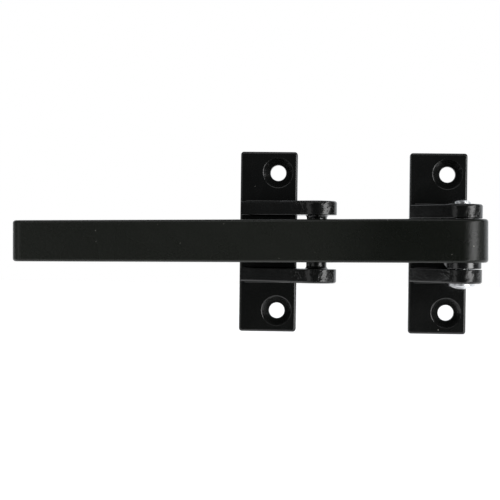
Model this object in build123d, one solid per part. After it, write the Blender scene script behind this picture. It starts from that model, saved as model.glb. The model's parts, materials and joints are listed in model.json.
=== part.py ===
"""Swing-bar door guard: a long U-shaped steel arm on a pivot bracket, closed over a keeper bracket's cross pin.

Millimetres. +X runs from the arm's closed end to its pivot, +Y runs into the wall that both brackets are
screwed to, and +Z is up. The origin is the centre of the pivot bracket's two screws, on its back face, so
the wall is the plane y = 0 and everything stands out of it towards -Y.
"""
import os
from math import acos, asin, atan2, cos, degrees, radians, sin, sqrt

from build123d import *

# Bracket plates, the same on both brackets
PLATE_WIDTH = 19.0
PLATE_HEIGHT = 60.0
PLATE_THICK = 4.0
PLATE_CORNER_R = 1.0
PLATE_EDGE_R = 0.8

# Countersunk mounting screws, in the strip of plate above and below the lugs
SCREW_HOLE_R = 2.6
COUNTERSINK_R = 5.0
COUNTERSINK_EDGE_R = 0.5
SCREW_FROM_END = 7.0
SCREW_FROM_RIGHT_EDGE = 6.5

# Lugs: a ramp up from the plate's left edge to a round knuckle on the axis
LUG_THICK = 4.6
LUG_EDGE_R = 0.75
LUG_INNER_EDGE_R = 0.25
LUG_ROOT_R = 0.4
RAMP_FROM_LEFT_EDGE = 0.3
RAMP_FOOT_HEIGHT = 0.5
KNUCKLE_R = 6.5
UNDERSIDE_HEIGHT = 1.0
KEEPER_GAP_EXTRA = 1.0

# The two axes that the arm works between
AXIS_SPACING = 47.2
PIVOT_INSIDE_RIGHT_EDGE = 2.3
KEEPER_PAST_RIGHT_EDGE = 6.8

# Keeper's cross pin, cast in one with the keeper bracket
KEEPER_PIN_R = 3.3
PIN_FLARE_R = 1.0

# Swing arm: a strap rolled to an eye at the pivot and bent to a U at the far end
STRAP_THICK = 2.8
EYE_INNER_R = 5.6
EYE_SEAM = 0.3
ARM_REACH = 146.3
ARM_WIDTH_AT_EYE = 14.2
ARM_WIDTH_AT_END = 13.4
ARM_EDGE_R = 0.95
BEND_INNER_R = 0.4
MOUTH_CLEARANCE = 4.0
ARM_OFF_PLATE = 1.6
ARM_TOP_GAP = 0.25
ARM_BOTTOM_GAP = 0.15

# Flanged bush in the eye, its flange between the eye and the lower lug; it stands out at both ends to
# keep the arm off the lugs
BUSH_CLEARANCE = 0.05
SLEEVE_STANDOUT = 0.12
FLANGE_R = 6.2
FLANGE_THICK = 2.0
FLANGE_EDGE_R = 0.3
FLANGE_BEVEL = 1.3

# Rivet: domed head below the lower lug, upset end above the upper lug
RIVET_R = 2.1
RIVET_CLEARANCE = 0.03
RUNNING_CLEARANCE = 0.12
LEAST_CLEARANCE = 0.02
HEAD_OVERHANG = 2.0
HEAD_RIM = 0.7
HEAD_HEIGHT = 1.8
UPSET_OVERHANG = 0.55
UPSET_RIM = 0.7
UPSET_HEIGHT = 1.3
DOME_MIDDLE = 0.6

EYE_OUTER_R = EYE_INNER_R + STRAP_THICK
BEND_OUTER_R = BEND_INNER_R + STRAP_THICK
AXIS_HEIGHT = PLATE_THICK + ARM_OFF_PLATE + EYE_OUTER_R

PIVOT_LEFT = SCREW_FROM_RIGHT_EDGE - PLATE_WIDTH
PIVOT_X = SCREW_FROM_RIGHT_EDGE - PIVOT_INSIDE_RIGHT_EDGE
KEEPER_X = PIVOT_X - AXIS_SPACING
KEEPER_LEFT = KEEPER_X - KEEPER_PAST_RIGHT_EDGE - PLATE_WIDTH
MOUTH_REACH = AXIS_SPACING + KEEPER_PIN_R + MOUTH_CLEARANCE

PIVOT_INNER_Z = (ARM_TOP_GAP + ARM_WIDTH_AT_EYE + FLANGE_THICK + ARM_BOTTOM_GAP) / 2
PIVOT_OUTER_Z = PIVOT_INNER_Z + LUG_THICK
KEEPER_INNER_Z = PIVOT_INNER_Z + KEEPER_GAP_EXTRA / 2
ARM_TOP_Z = PIVOT_INNER_Z - ARM_TOP_GAP
ARM_MIDDLE_Z = ARM_TOP_Z - ARM_WIDTH_AT_EYE / 2
ARM_BOTTOM_Z = ARM_TOP_Z - ARM_WIDTH_AT_EYE
FLANGE_BOTTOM_Z = ARM_BOTTOM_Z - FLANGE_THICK
BUSH_TOP_Z = ARM_TOP_Z + SLEEVE_STANDOUT


def upright(x):
    """Place on one of the two upright axes, for a piece turned about Z."""
    return Pos(x, -AXIS_HEIGHT, 0)


def turned(edges):
    """Solid turned about the Z axis from a closed outline of (radius, z) edges."""
    return revolve(Plane.XZ * make_face(edges), Axis.Z)


def hung(piece):
    """The arm or its bush, let down about the bush's middle by the play between bush and rivet."""
    play = 2 * (RUNNING_CLEARANCE - LEAST_CLEARANCE)
    droop = degrees(atan2(play, BUSH_TOP_Z - FLANGE_BOTTOM_Z))
    middle = Pos(PIVOT_X, -AXIS_HEIGHT, (BUSH_TOP_Z + FLANGE_BOTTOM_Z) / 2)
    return middle * Rot(0, -droop, 0) * middle.inverse() * piece


# Brackets


def screw_hole():
    """Through hole along Z with a right-angled countersink, its plate's front face at z = PLATE_THICK."""
    sink_depth = COUNTERSINK_R - SCREW_HOLE_R
    throat = Cylinder(SCREW_HOLE_R, 3 * PLATE_THICK)
    sink = Pos(0, 0, PLATE_THICK - sink_depth / 2) * Cone(SCREW_HOLE_R, COUNTERSINK_R, sink_depth)
    mouth = Pos(0, 0, 1.5 * PLATE_THICK) * Cylinder(COUNTERSINK_R, PLATE_THICK)
    return throat + sink + mouth


def plate(left):
    """Flat plate with rounded corners, softened front edges and two countersunk screw holes."""
    blank = Pos(left + PLATE_WIDTH / 2, -PLATE_THICK / 2, 0) * Box(PLATE_WIDTH, PLATE_THICK, PLATE_HEIGHT)
    blank = fillet(blank.edges().filter_by(Axis.Y), PLATE_CORNER_R)
    front = blank.faces().sort_by(Axis.Y)[0]
    drilled = fillet(front.edges(), PLATE_EDGE_R)
    screw_x = left + PLATE_WIDTH - SCREW_FROM_RIGHT_EDGE
    screw_z = PLATE_HEIGHT / 2 - SCREW_FROM_END
    for side in (-1, 1):
        drilled -= Pos(screw_x, 0, side * screw_z) * Rot(90, 0, 0) * screw_hole()
    sink_edges = [
        edge
        for edge in drilled.edges().filter_by(GeomType.CIRCLE)
        if edge.radius > PLATE_CORNER_R and edge.center().Y < -PLATE_THICK / 4
    ]
    return fillet(sink_edges, COUNTERSINK_EDGE_R)


def tangent_angle(centre, radius, point, turn):
    """Angle about centre of the place where a line from an outside point touches the circle."""
    away = point - centre
    return degrees(atan2(away.Y, away.X)) + turn * degrees(acos(radius / away.length))


def lug_outline(left, axis_x):
    """Side view of a lug: ramp, knuckle, underside, and a foot inside the plate."""
    centre = Vector(axis_x, -AXIS_HEIGHT)
    ramp_foot = Vector(left + RAMP_FROM_LEFT_EDGE, -PLATE_THICK - RAMP_FOOT_HEIGHT)
    heel = Vector(left + RAMP_FROM_LEFT_EDGE, -UNDERSIDE_HEIGHT)
    under_foot = Vector(left + PLATE_WIDTH, -UNDERSIDE_HEIGHT)
    start = tangent_angle(centre, KNUCKLE_R, ramp_foot, 1)
    end = tangent_angle(centre, KNUCKLE_R, under_foot, -1)
    knuckle = CenterArc(centre, KNUCKLE_R, start, (end - start) % 360)
    ramp = Line(ramp_foot, knuckle @ 0)
    underside = Line(knuckle @ 1, under_foot)
    return make_face([ramp, knuckle, underside, Line(under_foot, heel), Line(heel, ramp_foot)])


def lug(outline, inner_z, side):
    """The upper (side 1) or lower (side -1) lug, its rims softened, more so on the outside."""
    body = extrude(Pos(0, 0, side * inner_z) * outline, LUG_THICK, dir=(0, 0, side))
    for rim_z, radius in ((inner_z, LUG_INNER_EDGE_R), (inner_z + LUG_THICK, LUG_EDGE_R)):
        rims = [
            edge
            for edge in body.edges()
            if edge.center().Y < -PLATE_THICK and abs(edge.center().Z - side * rim_z) < LUG_THICK / 100
        ]
        body = fillet(rims, radius)
    return body


def root_section(face_z, outward):
    """Section of a root fillet at x = 0, with a lip sunk into both the plate and the lug."""
    sunk = PLATE_EDGE_R / 2
    shoulder = LUG_ROOT_R * (1 - cos(radians(45)))

    def at(from_lug, off_plate):
        return Vector(0, -PLATE_THICK - off_plate, face_z + outward * from_lug)

    hollow = ThreePointArc(at(LUG_ROOT_R, 0), at(shoulder, shoulder), at(0, LUG_ROOT_R))
    lip = Polyline(
        at(0, LUG_ROOT_R),
        at(-sunk, LUG_ROOT_R),
        at(-sunk, -sunk),
        at(LUG_ROOT_R, -sunk),
        at(LUG_ROOT_R, 0),
    )
    return make_face([hollow, *lip.edges()])


def root_fillet(left, face_z, outward):
    """Cast fillet that follows a lug's side face across the plate, over its edge and down its right side."""
    section = root_section(face_z, outward)
    turn_x = left + PLATE_WIDTH - PLATE_EDGE_R
    turn = Axis((turn_x, PLATE_EDGE_R - PLATE_THICK, 0), (0, 0, 1))
    across = extrude(Pos(left, 0, 0) * section, turn_x - left, dir=(1, 0, 0))
    over = revolve(Pos(turn_x, 0, 0) * section, turn, 90)
    down = extrude((Pos(turn_x, 0, 0) * section).rotate(turn, 90), PLATE_THICK - PLATE_EDGE_R, dir=(0, 1, 0))
    return across + over + down


def bracket(left, axis_x, inner_z):
    """Plate and two round-rooted lugs in one casting, the lugs' inner faces inner_z from its middle."""
    outline = lug_outline(left, axis_x)
    outer_z = inner_z + LUG_THICK
    reach = outer_z + LUG_THICK
    lug_shadow = extrude(Pos(0, 0, -reach) * outline, 2 * reach, dir=(0, 0, 1))
    root_room = lug_shadow & (Pos(2 * LUG_EDGE_R, 0, 0) * lug_shadow)
    body = plate(left)
    for side in (-1, 1):
        body += lug(outline, inner_z, side)
        body += root_fillet(left, side * inner_z, -side) & root_room
        body += root_fillet(left, side * outer_z, side) & root_room
    return body


def pivot_bracket():
    """Bracket whose lugs are bored for the rivet."""
    bore = Cylinder(RIVET_R + RIVET_CLEARANCE, 3 * PIVOT_OUTER_Z)
    return bracket(PIVOT_LEFT, PIVOT_X, PIVOT_INNER_Z) - upright(PIVOT_X) * bore


def cross_pin():
    """Round pin that flares into both lugs."""
    flare_z = KEEPER_INNER_Z - PIN_FLARE_R
    flare_r = KEEPER_PIN_R + PIN_FLARE_R
    hollow = PIN_FLARE_R * sin(radians(45))
    sunk_z = KEEPER_INNER_Z + LUG_THICK / 2
    flare_top = (flare_r, KEEPER_INNER_Z)
    flare_middle = (flare_r - hollow, flare_z + hollow)
    outline = [
        Line((0, sunk_z), (flare_r, sunk_z)),
        Line((flare_r, sunk_z), flare_top),
        ThreePointArc(flare_top, flare_middle, (KEEPER_PIN_R, flare_z)),
        Line((KEEPER_PIN_R, flare_z), (KEEPER_PIN_R, 0)),
        Line((KEEPER_PIN_R, 0), (0, 0)),
        Line((0, 0), (0, sunk_z)),
    ]
    upper_half = turned(outline)
    return upper_half + mirror(upper_half, Plane.XY)


def keeper_bracket():
    """Bracket with the cross pin that the arm closes over."""
    return bracket(KEEPER_LEFT, KEEPER_X, KEEPER_INNER_Z) + upright(KEEPER_X) * cross_pin()


# Swing arm


def arm_width(from_axis):
    """Width of the strap, which narrows evenly from the eye to the closed end."""
    return ARM_WIDTH_AT_EYE + (ARM_WIDTH_AT_END - ARM_WIDTH_AT_EYE) * from_axis / ARM_REACH


def strap_section(from_axis, height):
    """The strap's rounded section, facing along X, at a distance left of the pivot axis."""
    centre = Vector(PIVOT_X - from_axis, -height, ARM_MIDDLE_Z)
    place = Plane(origin=centre, x_dir=(0, 1, 0), z_dir=(1, 0, 0))
    return place * RectangleRounded(STRAP_THICK, arm_width(from_axis), ARM_EDGE_R)


def leg(height, near, far):
    """Straight run of the strap between two distances from the pivot axis."""
    return loft([strap_section(near, height), strap_section(far, height)], ruled=True)


def swing_arm():
    """Strap from the rolled eye, along the front leg, round the closed end and back along the rear leg."""
    mid_r = EYE_OUTER_R - STRAP_THICK / 2
    front = AXIS_HEIGHT + mid_r
    rear = AXIS_HEIGHT - mid_r
    seam_angle = degrees(asin((EYE_INNER_R - EYE_SEAM) / EYE_OUTER_R))
    eye_turn = 270 - seam_angle
    eye = revolve(strap_section(0, front), Axis((PIVOT_X, -AXIS_HEIGHT, 0), (0, 0, 1)), eye_turn)

    bend_r = BEND_OUTER_R - STRAP_THICK / 2
    bend_start = ARM_REACH - BEND_OUTER_R
    bend_x = PIVOT_X - bend_start
    front_turn = Axis((bend_x, bend_r - front, 0), (0, 0, -1))
    rear_turn = Axis((bend_x, -bend_r - rear, 0), (0, 0, 1))
    front_bend = revolve(strap_section(bend_start, front), front_turn, 90)
    rear_bend = revolve(strap_section(bend_start, rear), rear_turn, 90)
    end_section = strap_section(bend_start, front).rotate(front_turn, 90)
    end_wall = extrude(end_section, front - rear - 2 * bend_r, dir=(0, 1, 0))

    arm = eye + leg(front, 0, bend_start) + front_bend + end_wall + rear_bend
    return hung(arm + leg(rear, MOUTH_REACH, bend_start))


def disc(radius, bottom, top):
    """Cylinder about the Z axis between two heights."""
    return Pos(0, 0, (bottom + top) / 2) * Cylinder(radius, top - bottom)


def arm_bush():
    """Sleeve that fills the eye, with a flange below it that has one side bevelled."""
    sleeve = disc(EYE_INNER_R - BUSH_CLEARANCE, ARM_BOTTOM_Z, BUSH_TOP_Z)
    flange = disc(FLANGE_R, FLANGE_BOTTOM_Z, ARM_BOTTOM_Z)
    flange = fillet(flange.edges().sort_by(Axis.Z)[0], FLANGE_EDGE_R)
    bevel_corners = [
        Vector(-FLANGE_R, ARM_BOTTOM_Z),
        Vector(-FLANGE_R, FLANGE_BOTTOM_Z),
        Vector(FLANGE_BEVEL - FLANGE_R, FLANGE_BOTTOM_Z),
    ]
    bevel = extrude(Plane.XZ * make_face(Polyline(*bevel_corners, close=True)), FLANGE_R, both=True)
    bore = Cylinder(RIVET_R + RUNNING_CLEARANCE, 3 * PIVOT_OUTER_Z)
    return hung(upright(PIVOT_X) * (sleeve + (flange - bevel) - bore))


# Rivet


def rivet_end(radius, rim, height):
    """Button that stands up from z = 0: a short rim under a shallow dome."""
    middle_r = DOME_MIDDLE * radius
    rise = height - rim
    dome_r = (radius**2 + rise**2) / (2 * rise)
    middle_z = height - dome_r + sqrt(dome_r**2 - middle_r**2)
    return turned(
        [
            Line((0, 0), (radius, 0)),
            Line((radius, 0), (radius, rim)),
            ThreePointArc((radius, rim), (middle_r, middle_z), (0, height)),
            Line((0, height), (0, 0)),
        ]
    )


def hinge_rivet():
    """Rivet through both lugs and the bush, closed over the upper lug."""
    shank = Cylinder(RIVET_R, 2 * PIVOT_OUTER_Z)
    upset = Pos(0, 0, PIVOT_OUTER_Z) * rivet_end(RIVET_R + UPSET_OVERHANG, UPSET_RIM, UPSET_HEIGHT)
    head = rivet_end(RIVET_R + HEAD_OVERHANG, HEAD_RIM, HEAD_HEIGHT)
    head = mirror(Pos(0, 0, PIVOT_OUTER_Z) * head, Plane.XY)
    return upright(PIVOT_X) * (shank + upset + head)


def main():
    os.makedirs("parts", exist_ok=True)
    for piece in (pivot_bracket, keeper_bracket, swing_arm, arm_bush, hinge_rivet):
        export_step(piece(), f"parts/{piece.__name__}.step")


if __name__ == "__main__":
    main()
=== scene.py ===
"""Looks of a swing-bar door guard: two black die-cast brackets, a matt black arm, a bush and a zinc rivet.

Metres, in the parts' own frame: +X towards the pivot, +Y into the wall, +Z up.
"""
import json
from math import radians

import bpy
from mathutils import Matrix, Vector


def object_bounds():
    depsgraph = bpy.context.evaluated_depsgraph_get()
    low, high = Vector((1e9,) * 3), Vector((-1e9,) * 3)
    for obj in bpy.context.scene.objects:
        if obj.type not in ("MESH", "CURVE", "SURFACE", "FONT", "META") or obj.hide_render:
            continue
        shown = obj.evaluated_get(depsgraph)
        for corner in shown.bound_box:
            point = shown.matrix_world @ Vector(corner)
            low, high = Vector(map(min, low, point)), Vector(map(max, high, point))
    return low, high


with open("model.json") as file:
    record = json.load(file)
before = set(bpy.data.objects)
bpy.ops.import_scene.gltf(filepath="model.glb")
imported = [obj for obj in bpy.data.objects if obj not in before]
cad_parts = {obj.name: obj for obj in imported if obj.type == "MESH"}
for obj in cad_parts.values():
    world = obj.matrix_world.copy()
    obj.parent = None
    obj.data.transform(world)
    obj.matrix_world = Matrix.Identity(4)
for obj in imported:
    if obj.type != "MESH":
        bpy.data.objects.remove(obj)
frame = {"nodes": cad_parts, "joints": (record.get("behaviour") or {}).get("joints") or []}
cad_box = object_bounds()


# Brackets. Each is a zinc die casting: a 60 x 19 mm plate with two countersunk screw holes and two lugs that
# ramp up to round knuckles, painted semi-gloss black. The skin of the casting shows through the paint as pits
# and ripples, and the knuckles, which filled last, are dented too.


def add_node(tree, kind, settings=None, inputs=None):
    """New node with its settings made and each input either linked, if given a socket, or set."""
    node = tree.nodes.new(kind)
    for name, value in (settings or {}).items():
        setattr(node, name, value)
    for name, value in (inputs or {}).items():
        if isinstance(value, bpy.types.NodeSocket):
            tree.links.new(value, node.inputs[name])
        else:
            node.inputs[name].default_value = value
    return node


def calculate(tree, operation, first, second):
    """Output of a math node."""
    return add_node(tree, "ShaderNodeMath", {"operation": operation}, {0: first, 1: second}).outputs[0]


def rising(tree, value, start, end, low=0.0, high=1.0):
    """Output that goes smoothly from low to high while value goes from start to end."""
    inputs = {"Value": value, "From Min": start, "From Max": end, "To Min": low, "To Max": high}
    ramp = add_node(tree, "ShaderNodeMapRange", {"interpolation_type": "SMOOTHSTEP"}, inputs)
    return ramp.outputs["Result"]


def noise(tree, place, scale, detail, distortion=0.0):
    """Output of a noise texture, which wanders about 0.5."""
    inputs = {"Vector": place, "Scale": scale, "Detail": detail, "Distortion": distortion}
    return add_node(tree, "ShaderNodeTexNoise", None, inputs).outputs[0]


def object_place(tree):
    """Place on the object, in metres."""
    return add_node(tree, "ShaderNodeTexCoord").outputs["Object"]


def new_group(name, inputs, output):
    """Empty node group with float sockets, its input node and its output node."""
    tree = bpy.data.node_groups.new(name, "ShaderNodeTree")
    for socket in inputs:
        tree.interface.new_socket(socket, in_out="INPUT", socket_type="NodeSocketFloat")
    tree.interface.new_socket(output, in_out="OUTPUT", socket_type="NodeSocketFloat")
    return tree, tree.nodes.new("NodeGroupInput"), tree.nodes.new("NodeGroupOutput")


def coat_group():
    """Height of a sprayed coat: broad flow of the wet paint with a fine grain on top."""
    tree, given, result = new_group("coat", ["Flow Scale", "Grain Scale", "Grain Share"], "Height")
    place = object_place(tree)
    flow = noise(tree, place, given.outputs["Flow Scale"], detail=2.0)
    grain = noise(tree, place, given.outputs["Grain Scale"], detail=3.0)
    share = calculate(tree, "MULTIPLY", grain, given.outputs["Grain Share"])
    tree.links.new(calculate(tree, "ADD", flow, share), result.inputs["Height"])
    return tree


SMUDGE_START = 0.42
SMUDGE_FULL = 0.66


def smudge_group():
    """Handling: soft patches, 0 where the coat is as sprayed and 1 where it's been touched most."""
    tree, given, result = new_group("smudge", ["Scale"], "Amount")
    patches = noise(tree, object_place(tree), given.outputs["Scale"], detail=4.0, distortion=0.6)
    tree.links.new(rising(tree, patches, SMUDGE_START, SMUDGE_FULL), result.inputs["Amount"])
    return tree


def dust_group():
    """Specks of dust: one in some of the cells of a loose three-dimensional scatter."""
    tree, given, result = new_group("dust", ["Spacing", "Size", "Share"], "Amount")
    per_metre = calculate(tree, "DIVIDE", 1.0, given.outputs["Spacing"])
    cells = add_node(tree, "ShaderNodeTexVoronoi", None, {"Vector": object_place(tree), "Scale": per_metre})
    chance = add_node(tree, "ShaderNodeSeparateXYZ", None, {0: cells.outputs["Color"]})
    size = calculate(tree, "MULTIPLY", given.outputs["Size"], per_metre)
    size = calculate(tree, "MULTIPLY", size, chance.outputs["Y"])
    speck = calculate(tree, "LESS_THAN", cells.outputs["Distance"], size)
    kept = calculate(tree, "LESS_THAN", chance.outputs["X"], given.outputs["Share"])
    tree.links.new(calculate(tree, "MULTIPLY", speck, kept), result.inputs["Amount"])
    return tree


coat = coat_group()
smudge = smudge_group()
dust = dust_group()


def effect(tree, group, **inputs):
    """Output of a shared effect, its inputs given with _ for a space."""
    named = {name.replace("_", " "): value for name, value in inputs.items()}
    return add_node(tree, "ShaderNodeGroup", {"node_tree": group}, named).outputs[0]


def new_material(name):
    """Material with its node tree and its Principled node."""
    material = bpy.data.materials.new(name)
    material.use_nodes = True
    return material, material.node_tree, material.node_tree.nodes["Principled BSDF"]


def blend(tree, share, plain, other):
    """Colour that goes from plain to other, each a colour or a socket, as share goes from 0 to 1."""
    colors = [value if isinstance(value, bpy.types.NodeSocket) else (*value, 1) for value in (plain, other)]
    mix = add_node(tree, "ShaderNodeMix", {"data_type": "RGBA"}, {0: share, 6: colors[0], 7: colors[1]})
    return mix.outputs[2]


def bumped(tree, shader, height, distance):
    """Raise the shader's surface by distance for each unit of height."""
    bump = add_node(tree, "ShaderNodeBump", None, {"Height": height, "Distance": distance})
    tree.links.new(bump.outputs["Normal"], shader.inputs["Normal"])


def wear(node, material):
    """Dress one of the frame's own pieces in a material."""
    mesh = frame["nodes"][node].data
    mesh.materials.clear()
    mesh.materials.append(material)


arm_swing = next(joint for joint in frame["joints"] if joint["name"] == "arm_swing")
pivot = Vector(arm_swing["pos_m"])

CASTING_COLOR = (0.0046, 0.0050, 0.0047)
CASTING_ROUGHNESS = 0.19
SKIN_DEPTH = 0.000030
PITS_PER_METRE = 1300.0
PIT_DEPTH = 0.000054
PIT_START = 0.05
PIT_FULL = 0.45
PITTED_PATCHES_PER_METRE = 200.0
PATCH_START = 0.48
PATCH_FULL = 0.62
PLATE_PITTING = 0.3
KNUCKLE_START_PAST_AXIS = 0.0005
KNUCKLE_FULL_PAST_AXIS = 0.0040
DENTS_PER_METRE = 560.0
DENT_DEPTH = 0.00011
DUST_COLOR = (0.33, 0.32, 0.29)
DULLER_WHERE_TOUCHED = 0.05
DULLER_UNDER_DUST = 0.6

casting, tree, shader = new_material("black_casting")
place = object_place(tree)
axes = add_node(tree, "ShaderNodeSeparateXYZ", None, {0: place})
knuckle_start = pivot.y - KNUCKLE_START_PAST_AXIS
knuckle_full = pivot.y - KNUCKLE_FULL_PAST_AXIS
on_knuckle = rising(tree, axes.outputs["Y"], knuckle_start, knuckle_full)

pit_cells = add_node(
    tree, "ShaderNodeTexVoronoi", {"feature": "SMOOTH_F1"}, {"Vector": place, "Scale": PITS_PER_METRE}
)
pits = rising(tree, pit_cells.outputs["Distance"], PIT_START, PIT_FULL)
patches = noise(tree, place, PITTED_PATCHES_PER_METRE, detail=3.0)
pitted = calculate(tree, "MULTIPLY", rising(tree, patches, PATCH_START, PATCH_FULL), pits)
pitted = calculate(tree, "MULTIPLY", pitted, rising(tree, on_knuckle, 0.0, 1.0, PLATE_PITTING, 1.0))

skin = effect(tree, coat, Flow_Scale=420.0, Grain_Scale=2600.0, Grain_Share=0.25)
skin = calculate(tree, "SUBTRACT", skin, calculate(tree, "MULTIPLY", pitted, PIT_DEPTH / SKIN_DEPTH))
dents = noise(tree, place, DENTS_PER_METRE, detail=1.0)
dented = calculate(tree, "MULTIPLY", dents, calculate(tree, "MULTIPLY", on_knuckle, DENT_DEPTH / SKIN_DEPTH))
bumped(tree, shader, calculate(tree, "ADD", skin, dented), SKIN_DEPTH)

touched = effect(tree, smudge, Scale=140.0)
specks = effect(tree, dust, Spacing=0.0032, Size=0.00020, Share=0.25)
worn = calculate(tree, "MULTIPLY", touched, DULLER_WHERE_TOUCHED)
roughness = calculate(tree, "ADD", worn, CASTING_ROUGHNESS)
dusty = calculate(tree, "MULTIPLY", specks, DULLER_UNDER_DUST)
tree.links.new(calculate(tree, "ADD", roughness, dusty), shader.inputs["Roughness"])
tree.links.new(blend(tree, specks, CASTING_COLOR, DUST_COLOR), shader.inputs["Base Color"])

wear("pivot_bracket", casting)
wear("keeper_bracket", casting)


# Swing arm. A 14 x 2.8 mm steel strap, rolled to an eye at the pivot and bent to a U at the far end, powder
# coated matt black. The powder bakes to an even fine grain. Its colour is painted lighter towards the free
# end, a painted sheen for the light that end catches, and the keeper's pin has polished the inner faces of
# both legs.

ARM_COLOR = (0.0042, 0.0053, 0.0037)
# Painted sheen: the lighter colour that the free end is painted, for the light it catches there.
PAINTED_SHEEN_COLOR = (0.0132, 0.0146, 0.0122)
PAINTED_SHEEN_START_REACH = 0.0192
PAINTED_SHEEN_FULL_REACH = 0.0492
ARM_ROUGHNESS = 0.27
ARM_SPECULAR = 0.32
GRAIN_DEPTH = 0.000045
SLOT_HALF_WIDTH = 0.0058
SLOT_POLISH = 0.12
DULLER_WHERE_GRIPPED = 0.04
DULLER_UNDER_SPECKS = 0.5

powder, tree, shader = new_material("black_powder_coat")
grain = effect(tree, coat, Flow_Scale=900.0, Grain_Scale=2800.0, Grain_Share=0.9)
bumped(tree, shader, grain, GRAIN_DEPTH)

axes = add_node(tree, "ShaderNodeSeparateXYZ", None, {0: object_place(tree)})
from_middle = calculate(tree, "ABSOLUTE", calculate(tree, "SUBTRACT", axes.outputs["Y"], pivot.y), 0.0)
in_slot = calculate(tree, "LESS_THAN", from_middle, SLOT_HALF_WIDTH)
touched = effect(tree, smudge, Scale=60.0)
specks = effect(tree, dust, Spacing=0.0023, Size=0.00036, Share=0.45)
worn = calculate(tree, "MULTIPLY", touched, DULLER_WHERE_GRIPPED)
worn = calculate(tree, "SUBTRACT", worn, calculate(tree, "MULTIPLY", in_slot, SLOT_POLISH))
dusty = calculate(tree, "MULTIPLY", specks, DULLER_UNDER_SPECKS)
roughness = calculate(tree, "ADD", calculate(tree, "ADD", worn, dusty), ARM_ROUGHNESS)
tree.links.new(roughness, shader.inputs["Roughness"])

# Painted sheen: the base colour turns lighter towards the free end, for the light that end catches.
painted_sheen = rising(tree, axes.outputs["X"], pivot.x - PAINTED_SHEEN_START_REACH, pivot.x - PAINTED_SHEEN_FULL_REACH)
coat_and_sheen_color = blend(tree, painted_sheen, ARM_COLOR, PAINTED_SHEEN_COLOR)
tree.links.new(blend(tree, specks, coat_and_sheen_color, DUST_COLOR), shader.inputs["Base Color"])
shader.inputs["Specular IOR Level"].default_value = ARM_SPECULAR

wear("swing_arm", powder)


# Bush. A moulded black nylon sleeve that fills the eye, with a flange 12.4 mm across under it that carries
# the arm on the lower lug. It comes from the mould glossy, with faint flow marks, and rubs duller where it
# turns.

BUSH_COLOR = (0.0020, 0.0020, 0.0021)
BUSH_ROUGHNESS = 0.15
BUSH_SPECULAR = 0.9
FLOW_MARK_DEPTH = 0.000012
DULLER_WHERE_RUBBED = 0.06

nylon, tree, shader = new_material("black_nylon")
flow_marks = effect(tree, coat, Flow_Scale=700.0, Grain_Scale=3000.0, Grain_Share=0.2)
bumped(tree, shader, flow_marks, FLOW_MARK_DEPTH)
rubbed = calculate(tree, "MULTIPLY", effect(tree, smudge, Scale=400.0), DULLER_WHERE_RUBBED)
tree.links.new(calculate(tree, "ADD", rubbed, BUSH_ROUGHNESS), shader.inputs["Roughness"])
shader.inputs["Base Color"].default_value = (*BUSH_COLOR, 1)
shader.inputs["Specular IOR Level"].default_value = BUSH_SPECULAR

wear("arm_bush", nylon)


# Rivet. A 4.2 mm steel rivet, bright zinc plated, its domed head under the lower lug and its upset end over
# the upper one. Rings from the heading die show on the dome, and the riveting tool has dimpled the end.

ZINC_COLOR = (0.86, 0.87, 0.89)
BLOOM_COLOR = (0.70, 0.71, 0.72)
ZINC_ROUGHNESS = 0.30
BLOOM_ROUGHNESS = 0.46
RING_WIDTH = 0.00035
RING_SHARE = 0.25
DIMPLES_PER_METRE = 1100.0
DIMPLE_DEPTH = 0.000014

zinc, tree, shader = new_material("bright_zinc")
place = object_place(tree)
from_pivot = add_node(tree, "ShaderNodeVectorMath", {"operation": "SUBTRACT"}, {0: place, 1: pivot})
across = add_node(
    tree, "ShaderNodeVectorMath", {"operation": "MULTIPLY"}, {0: from_pivot.outputs[0], 1: (1, 1, 0)}
)
radius = add_node(tree, "ShaderNodeVectorMath", {"operation": "LENGTH"}, {0: across.outputs[0]})
rings = calculate(tree, "PINGPONG", radius.outputs["Value"], RING_WIDTH)
rings = calculate(tree, "MULTIPLY", calculate(tree, "DIVIDE", rings, RING_WIDTH), RING_SHARE)
dimples = noise(tree, place, DIMPLES_PER_METRE, detail=3.0)
bumped(tree, shader, calculate(tree, "ADD", rings, dimples), DIMPLE_DEPTH)

bloom = effect(tree, smudge, Scale=600.0)
tree.links.new(rising(tree, bloom, 0.0, 1.0, ZINC_ROUGHNESS, BLOOM_ROUGHNESS), shader.inputs["Roughness"])
tree.links.new(blend(tree, bloom, ZINC_COLOR, BLOOM_COLOR), shader.inputs["Base Color"])
shader.inputs["Metallic"].default_value = 1.0

wear("hinge_rivet", zinc)


# Floor: plain, pale and lit from below, well under the object. It stops short of the camera, so that the
# plates, which face the camera, don't mirror it.

FLOOR_DROP = 0.060
FLOOR_SIDE = 3.0
FLOOR_FRONT = -0.12
FLOOR_BACK = 3.0
FLOOR_COLOR = (0.85, 0.85, 0.85)
FLOOR_ROUGHNESS = 0.8
FLOOR_GLOW = 0.75

floor_z = cad_box[0][2] - FLOOR_DROP
corners = [
    (-FLOOR_SIDE, FLOOR_FRONT, floor_z),
    (FLOOR_SIDE, FLOOR_FRONT, floor_z),
    (FLOOR_SIDE, FLOOR_BACK, floor_z),
    (-FLOOR_SIDE, FLOOR_BACK, floor_z),
]
floor_mesh = bpy.data.meshes.new("floor")
floor_mesh.from_pydata(corners, [], [(0, 1, 2, 3)])
floor = bpy.data.objects.new("floor", floor_mesh)
scene = bpy.context.scene
scene.collection.objects.link(floor)

pale, tree, shader = new_material("pale_floor")
shader.inputs["Base Color"].default_value = (*FLOOR_COLOR, 1)
shader.inputs["Roughness"].default_value = FLOOR_ROUGHNESS
shader.inputs["Emission Color"].default_value = (1, 1, 1, 1)
shader.inputs["Emission Strength"].default_value = FLOOR_GLOW
floor_mesh.materials.append(pale)


# Studio: white behind the object and dim in front of it. The black parts show little but what they mirror, so
# the soft boxes' places set every highlight: a strong one to the right, a weak one to the left, one above.

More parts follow.
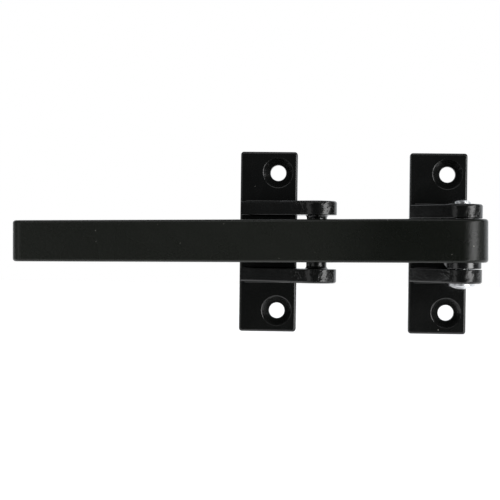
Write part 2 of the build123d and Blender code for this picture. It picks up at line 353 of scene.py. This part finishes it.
ROOM_COLOR = (0.94, 0.97, 1.0)
FRONT_GLOW = 0.045
SIDE_GLOW = 0.10
FRONT_END = -0.75
SIDE_START = -0.15
SURROUND_GLOW = 0.9
SURROUND_START = 0.20
SURROUND_FULL = 0.45

world = bpy.data.worlds.new("studio")
scene.world = world
world.use_nodes = True
tree = world.node_tree
tree.nodes.clear()
direction = add_node(tree, "ShaderNodeTexCoord")
axes = add_node(tree, "ShaderNodeSeparateXYZ", None, {0: direction.outputs["Generated"]})
room_glow = rising(tree, axes.outputs["Y"], FRONT_END, SIDE_START, FRONT_GLOW, SIDE_GLOW)
surround_glow = rising(tree, axes.outputs["Y"], SURROUND_START, SURROUND_FULL, 0.0, SURROUND_GLOW)
glow = calculate(tree, "ADD", room_glow, surround_glow)
room = add_node(tree, "ShaderNodeBackground", None, {"Color": (*ROOM_COLOR, 1), "Strength": glow})
backdrop = add_node(tree, "ShaderNodeBackground", None, {"Color": (1, 1, 1, 1)})
seen = add_node(tree, "ShaderNodeLightPath")
surround = add_node(
    tree,
    "ShaderNodeMixShader",
    None,
    {0: seen.outputs["Is Camera Ray"], 1: room.outputs[0], 2: backdrop.outputs[0]},
)
add_node(tree, "ShaderNodeOutputWorld", None, {"Surface": surround.outputs[0]})

BOX_TARGET = Vector((-0.065, 0.0, 0.0))


def soft_box(name, place, width, height, power):
    """Rectangular soft box hung at place and turned towards the object."""
    light = bpy.data.lights.new(name, "AREA")
    light.shape = "RECTANGLE"
    light.size = width
    light.size_y = height
    light.energy = power
    box = bpy.data.objects.new(name, light)
    box.matrix_world = (BOX_TARGET - Vector(place)).to_track_quat("-Z", "Z").to_matrix().to_4x4()
    box.location = place
    scene.collection.objects.link(box)


soft_box("right_box", place=(0.532, -0.473, 0.0), width=0.24, height=0.9, power=3.8)
soft_box("left_box", place=(-0.56, -0.53, 0.0), width=0.24, height=0.9, power=0.5)
soft_box("top_box", place=(-0.065, -0.45, 0.50), width=0.9, height=0.35, power=1.15)


# Camera: all but square on to the wall, from a little right of the middle.

CAMERA_DISTANCE = 0.500
CAMERA_AIM = Vector((-0.0656, 0.0, -0.0029))
CAMERA_SWING = radians(3.52)
CAMERA_TILT = radians(-0.11)
CAMERA_ROLL = radians(0.73)
CAMERA_LENS = 106.9
SENSOR_WIDTH = 36.0
CLIP_START = 0.01
CLIP_END = 20.0

camera_data = bpy.data.cameras.new("camera")
camera_data.lens = CAMERA_LENS
camera_data.sensor_width = SENSOR_WIDTH
camera_data.clip_start = CLIP_START
camera_data.clip_end = CLIP_END
camera = bpy.data.objects.new("camera", camera_data)
scene.collection.objects.link(camera)
facing = Matrix.Rotation(CAMERA_SWING, 4, "Z") @ Matrix.Rotation(radians(90) + CAMERA_TILT, 4, "X")
facing = facing @ Matrix.Rotation(CAMERA_ROLL, 4, "Z")
sight = (facing @ Vector((0, 0, -1))).normalized()
camera.matrix_world = Matrix.Translation(CAMERA_AIM - sight * CAMERA_DISTANCE) @ facing
scene.camera = camera
scene.view_settings.view_transform = "Standard"
scene.view_settings.look = "None"
